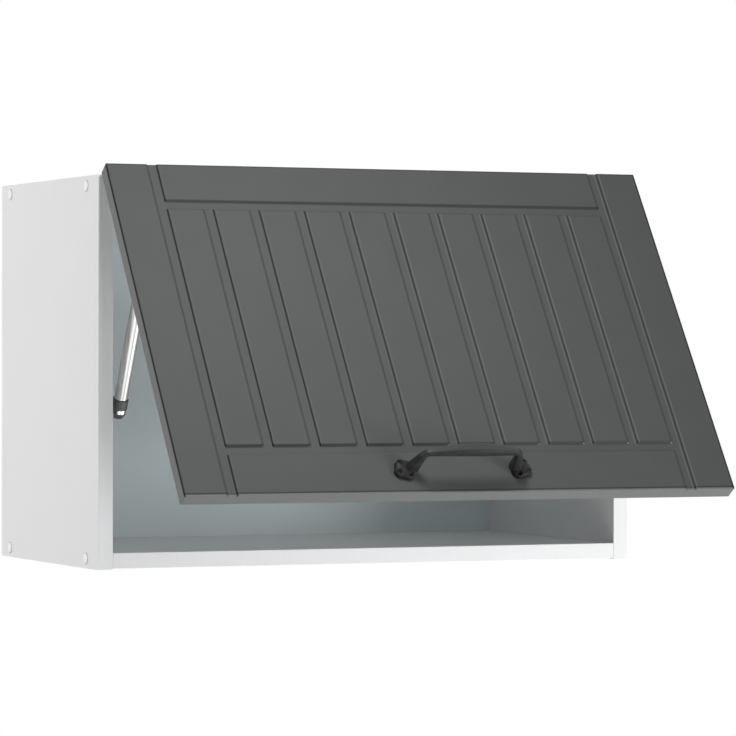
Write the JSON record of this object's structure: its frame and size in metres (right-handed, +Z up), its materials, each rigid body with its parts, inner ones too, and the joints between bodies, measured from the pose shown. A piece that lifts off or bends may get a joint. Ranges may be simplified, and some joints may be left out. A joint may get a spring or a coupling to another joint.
{
  "type": "wall cabinet with lift-up door",
  "caption": "White box wall cabinet with a milled dark grey plank door that lifts on top hinges and gas struts, with a black bow handle.",
  "frame": {"origin": "centre of the back panel's wall face", "axes": "+X to the right as seen from the front, +Y into the wall, +Z up"},
  "size_m": [0.602, 0.5783, 0.4098],
  "materials": {
    "white_board": "white melamine",
    "white_edging": "satin",
    "hardboard": "white inside",
    "door_film": "matte grey film",
    "black_iron": "black antique",
    "zinc_steel": "zinc plated",
    "bright_steel": "bright",
    "silver_tube": "silver",
    "black_plastic": "matte",
    "white_plastic": "satin",
    "bumper": "soft"
  },
  "bodies": {
    "carcass": {"left_side_panel": "white_board", "right_side_panel": "white_board", "top_panel": "white_board", "bottom_panel": "white_board", "left_side_edging": "white_edging", "right_side_edging": "white_edging", "top_edging": "white_edging", "bottom_edging": "white_edging", "back_panel": "hardboard", "back_panel_nails": "zinc_steel", "left_carcass_screws": "zinc_steel", "right_carcass_screws": "zinc_steel", "left_screw_caps": "white_plastic", "right_screw_caps": "white_plastic", "left_wall_bracket": "zinc_steel", "right_wall_bracket": "zinc_steel", "wall_bracket_screws": "zinc_steel", "left_hinge_fixed_leaf": "zinc_steel", "right_hinge_fixed_leaf": "zinc_steel", "left_hinge_pin": "zinc_steel", "right_hinge_pin": "zinc_steel", "hinge_fixed_screws": "zinc_steel", "left_strut_side_bracket": "zinc_steel", "right_strut_side_bracket": "zinc_steel", "strut_side_screws": "zinc_steel"},
    "door": {"door_panel": "door_film", "door_bumpers": "bumper", "handle_bow": "black_iron", "left_handle_rosette": "black_iron", "right_handle_rosette": "black_iron", "handle_screws": "zinc_steel", "left_hinge_door_leaf": "zinc_steel", "right_hinge_door_leaf": "zinc_steel", "hinge_door_screws": "zinc_steel", "left_strut_door_bracket": "zinc_steel", "right_strut_door_bracket": "zinc_steel", "strut_door_screws": "zinc_steel"},
    "left_rod": {"left_strut_rod": "bright_steel", "left_strut_piston": "black_plastic", "left_strut_head": "black_plastic"},
    "left_cylinder": {"left_strut_tube": "silver_tube", "left_strut_gland": "black_plastic", "left_strut_foot": "black_plastic", "left_strut_clip": "bright_steel"},
    "right_rod": {"right_strut_rod": "bright_steel", "right_strut_piston": "black_plastic", "right_strut_head": "black_plastic"},
    "right_cylinder": {"right_strut_tube": "silver_tube", "right_strut_gland": "black_plastic", "right_strut_foot": "black_plastic", "right_strut_clip": "bright_steel"}
  },
  "joints": [
    {"name": "door_swing", "type": "hinge", "parent": "carcass", "child": "door", "pos_m": [0, -0.3131, 0.2029], "axis": [-1, 0, 0], "range_deg": [-34.5, 40.5]},
    {"name": "left_rod_turn", "type": "hinge", "parent": "door", "child": "left_rod", "pos_m": [-0.259, -0.35171, 0.1326], "axis": [-1, 0, 0], "range_deg": [-46, 39]},
    {"name": "left_tube_slide", "type": "slide", "parent": "left_rod", "child": "left_cylinder", "axis": [0, 0.4631, -0.8863], "range_m": [-0.0465, 0.0546]},
    {"name": "right_rod_turn", "type": "hinge", "parent": "door", "child": "right_rod", "pos_m": [0.259, -0.35171, 0.1326], "axis": [-1, 0, 0], "range_deg": [-46, 39]},
    {"name": "right_tube_slide", "type": "slide", "parent": "right_rod", "child": "right_cylinder", "axis": [0, 0.4631, -0.8863], "range_m": [-0.0465, 0.0546]}
  ],
  "couplings": [
    {"joint": "left_rod_turn", "follows": "door_swing", "ratio": -1.072},
    {"joint": "left_tube_slide", "follows": "door_swing", "m_per_rad": 0.07687},
    {"joint": "right_rod_turn", "follows": "door_swing", "ratio": -1.072},
    {"joint": "right_tube_slide", "follows": "door_swing", "m_per_rad": 0.07687}
  ]
}
